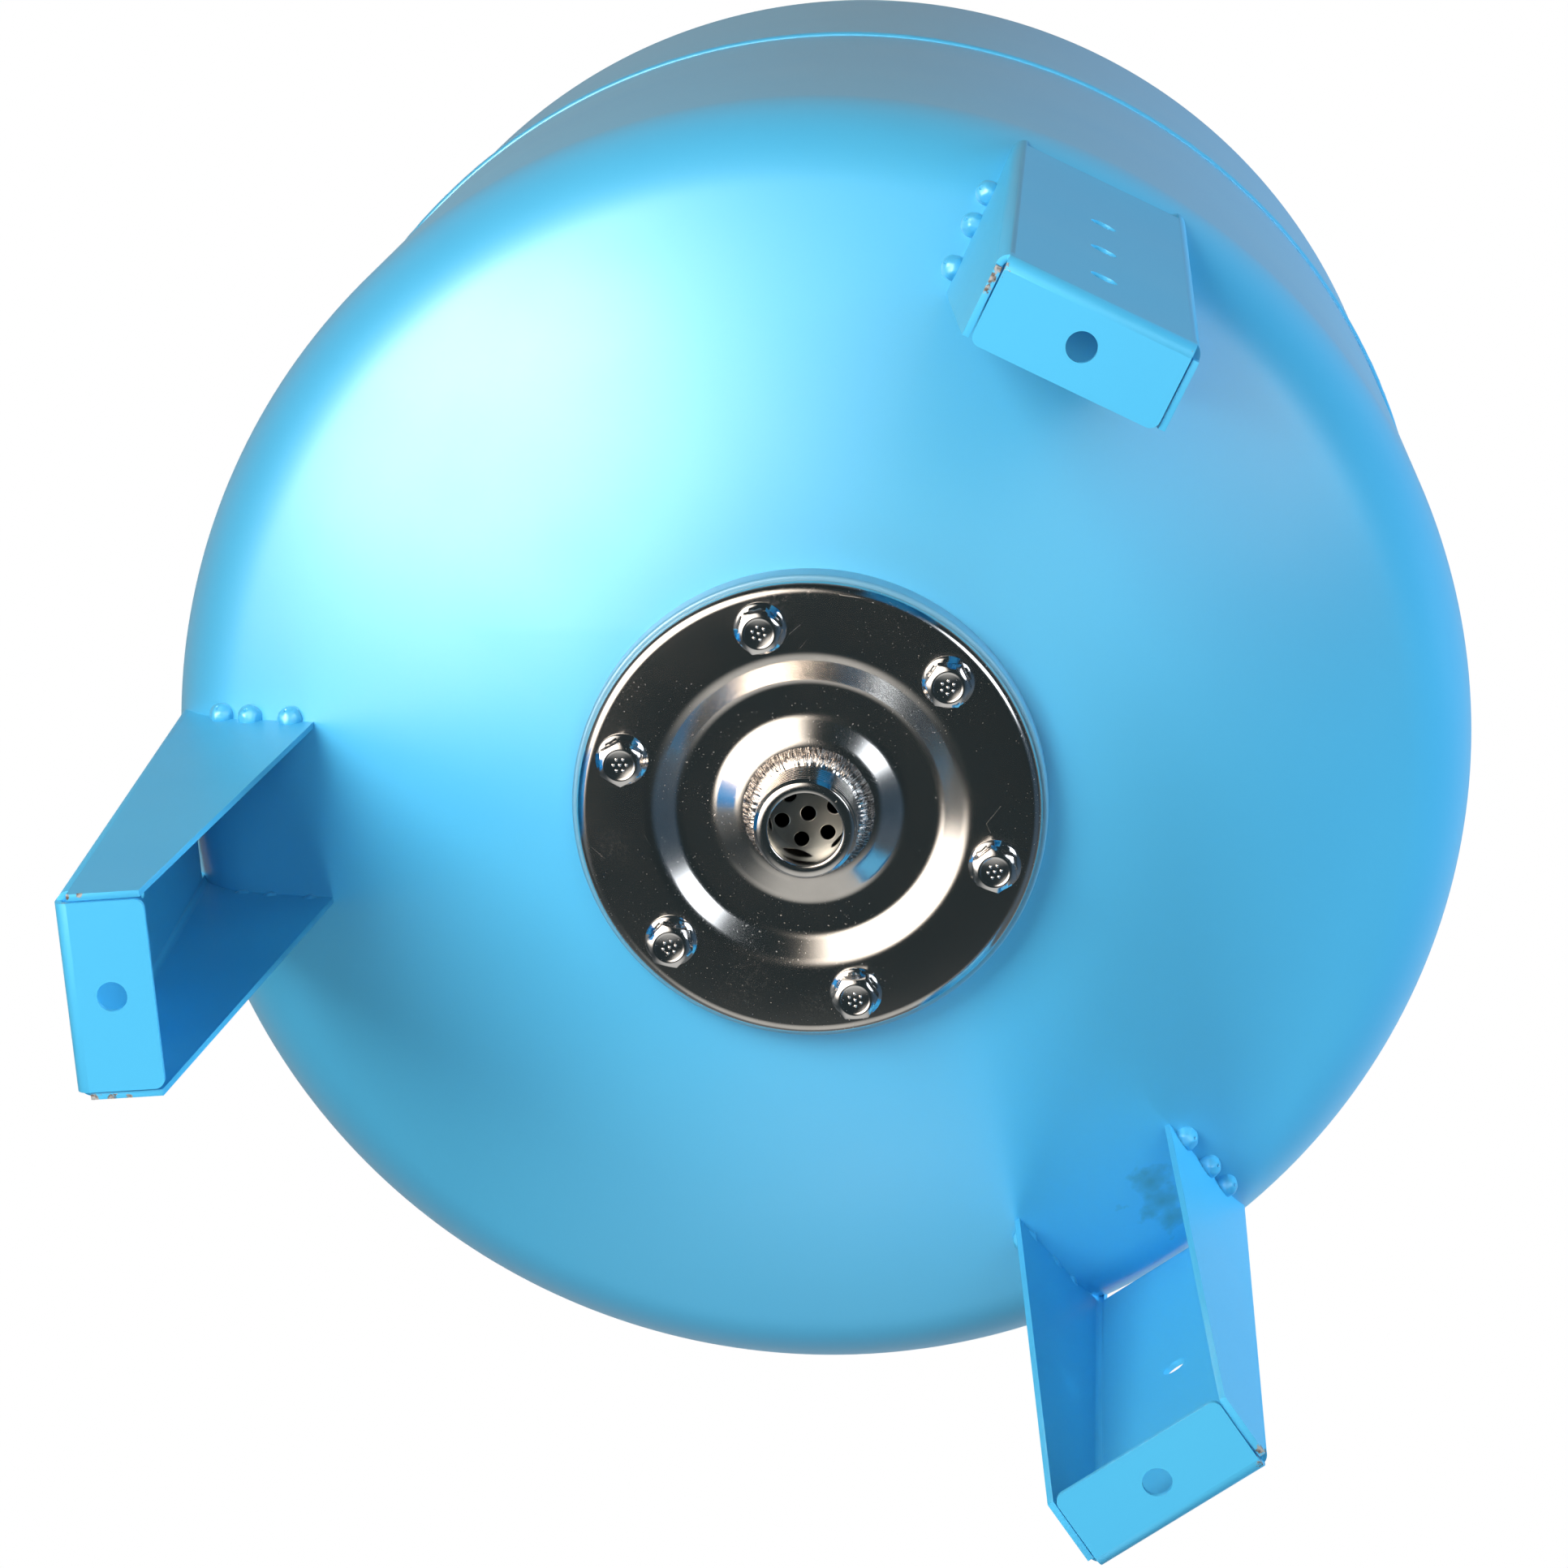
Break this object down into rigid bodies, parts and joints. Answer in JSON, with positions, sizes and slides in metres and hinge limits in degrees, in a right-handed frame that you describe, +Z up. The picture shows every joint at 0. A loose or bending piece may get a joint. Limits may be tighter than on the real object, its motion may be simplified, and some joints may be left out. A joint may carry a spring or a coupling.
{
  "type": "bladder pressure tank",
  "caption": "Upright steel bladder pressure tank on folded sheet legs, with a bolted counter-flange and threaded water connection below and a capped air valve on top.",
  "frame": {"origin": "on the tank's axis, on the floor under the three feet", "axes": "+Z up along the tank's axis, from the feet to the air valve; leg A stands towards -Y"},
  "size_m": [0.443, 0.443, 0.7521],
  "materials": {
    "blue_paint": "glossy light blue enamel",
    "weld_steel": "bare weld, dark",
    "zinc_plate": "bright zinc-plated pressed steel",
    "zinc_pipe": "bright zinc-plated, threaded",
    "zinc_weld": "zinc-plated rippled weld",
    "strainer_steel": "dull steel",
    "zinc_bolt": "bright zinc plating",
    "bladder_rubber": "matt black rubber",
    "seal_rubber": "black rubber",
    "valve_brass": "turned brass",
    "core_brass": "turned brass",
    "spring_steel": "spring wire",
    "cap_plastic": "moulded black plastic"
  },
  "bodies": {
    "tank": {"lower_shell": "blue_paint", "upper_shell": "blue_paint", "girth_weld": "blue_paint", "neck_ring": "blue_paint", "neck_weld": "weld_steel", "flange_plate": "zinc_plate", "inlet_nipple": "zinc_pipe", "nipple_weld": "zinc_weld", "strainer_disc": "strainer_steel", "flange_bolts": "zinc_bolt", "bladder": "bladder_rubber", "valve_boss": "blue_paint", "valve_boss_weld": "blue_paint", "valve_body": "valve_brass", "valve_o_ring": "seal_rubber", "core_barrel": "core_brass", "core_gasket": "seal_rubber", "core_spring": "spring_steel", "leg_a": "blue_paint", "leg_a_tacks": "blue_paint", "leg_b": "blue_paint", "leg_b_tacks": "blue_paint", "leg_c": "blue_paint", "leg_c_tacks": "blue_paint"},
    "valve_pin": {"core_pin": "core_brass", "core_seal": "seal_rubber"},
    "cap_rider": {"cap_seal": "seal_rubber"},
    "cap": {"valve_cap": "cap_plastic"}
  },
  "joints": [
    {"name": "valve_pin_press", "type": "slide", "parent": "tank", "child": "valve_pin", "axis": [0, 0, -1], "range_m": [0, 0.0015], "stiffness_N_per_m": 300, "springref_m": -0.0005, "deforming": ["core_spring"]},
    {"name": "cap_rise", "type": "slide", "parent": "tank", "child": "cap_rider", "axis": [0, 0, 1], "range_m": [0, 0.00556]},
    {"name": "cap_turn", "type": "hinge", "parent": "cap_rider", "child": "cap", "pos_m": [0, 0, 0.742], "axis": [0, 0, 1], "range_deg": [0, 2520]}
  ],
  "couplings": [
    {"joint": "cap_turn", "follows": "cap_rise", "rad_per_m": 7913.3}
  ]
}
